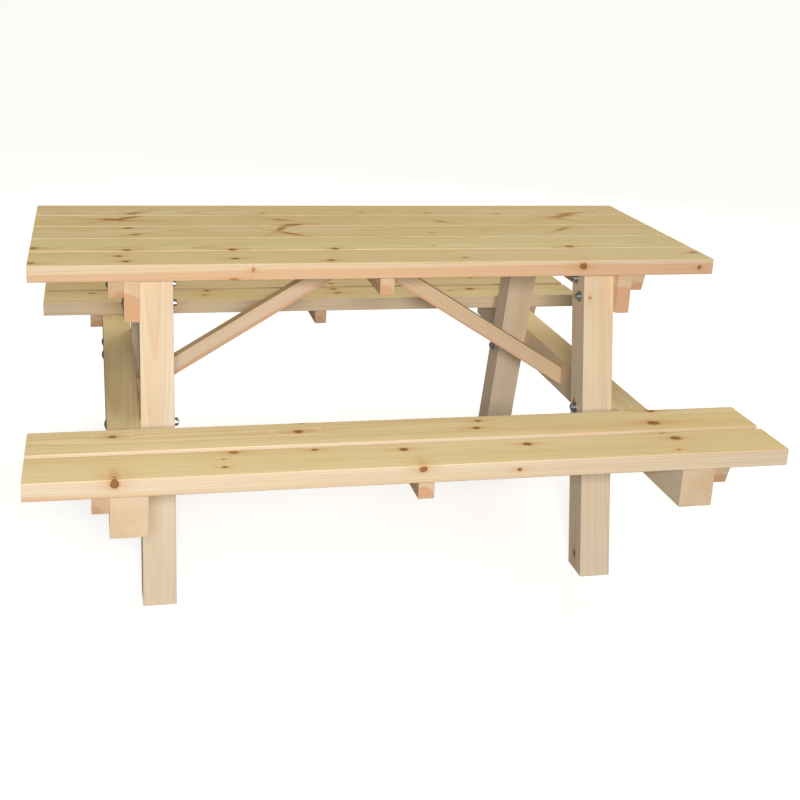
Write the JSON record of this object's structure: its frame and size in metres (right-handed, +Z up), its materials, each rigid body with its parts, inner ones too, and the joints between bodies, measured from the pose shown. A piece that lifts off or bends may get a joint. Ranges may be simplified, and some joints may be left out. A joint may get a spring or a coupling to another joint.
{
  "type": "picnic table",
  "caption": "Timber picnic table with two fixed benches: planked top and seats on splayed legs, cross beams, battens, diagonal braces, bolts and wood screws.",
  "frame": {"origin": "on the ground, under the centre of the table's overall outline", "axes": "+X along the table's length to the right, +Y to the rear seat, +Z up"},
  "size_m": [1.6, 1.45, 0.765],
  "materials": {
    "top_boards": "planed pine, unfinished, yellow with red-brown knots",
    "seat_boards": "planed pine, unfinished, yellow with red-brown knots",
    "legs": "planed pale pine, unfinished",
    "beams": "planed pale pine, unfinished, pinkish end grain",
    "bearers": "planed pale pine, unfinished",
    "battens": "planed pale pine, unfinished, pinkish end grain",
    "cleats": "planed pine, unfinished, pinkish end grain",
    "braces": "planed pale pine, unfinished",
    "bolts": "bright zinc plated steel",
    "screws": "yellow zinc plated steel"
  },
  "bodies": {
    "root": {"top_board_1": "top_boards", "top_board_2": "top_boards", "top_board_3": "top_boards", "top_board_4": "top_boards", "top_board_5": "top_boards", "seat_board_front_outer": "seat_boards", "seat_board_front_inner": "seat_boards", "seat_board_rear_outer": "seat_boards", "seat_board_rear_inner": "seat_boards", "leg_front_left": "legs", "leg_front_right": "legs", "leg_rear_left": "legs", "leg_rear_right": "legs", "table_beam_left": "beams", "table_beam_right": "beams", "seat_bearer_left": "bearers", "seat_bearer_right": "bearers", "table_batten_left": "battens", "table_batten_right": "battens", "seat_batten_front_left": "battens", "seat_batten_front_right": "battens", "seat_batten_rear_left": "battens", "seat_batten_rear_right": "battens", "table_cleat": "cleats", "seat_cleat_front": "cleats", "seat_cleat_rear": "cleats", "brace_left": "braces", "brace_right": "braces", "batten_bolts": "bolts", "beam_bolts": "bolts", "bearer_bolts": "bolts", "small_nuts": "bolts", "large_nuts": "bolts", "small_washers": "bolts", "large_washers": "bolts", "top_screws": "screws", "seat_screws": "screws", "side_screws": "screws", "brace_end_screws": "screws", "brace_skew_screws": "screws"}
  },
  "joints": []
}
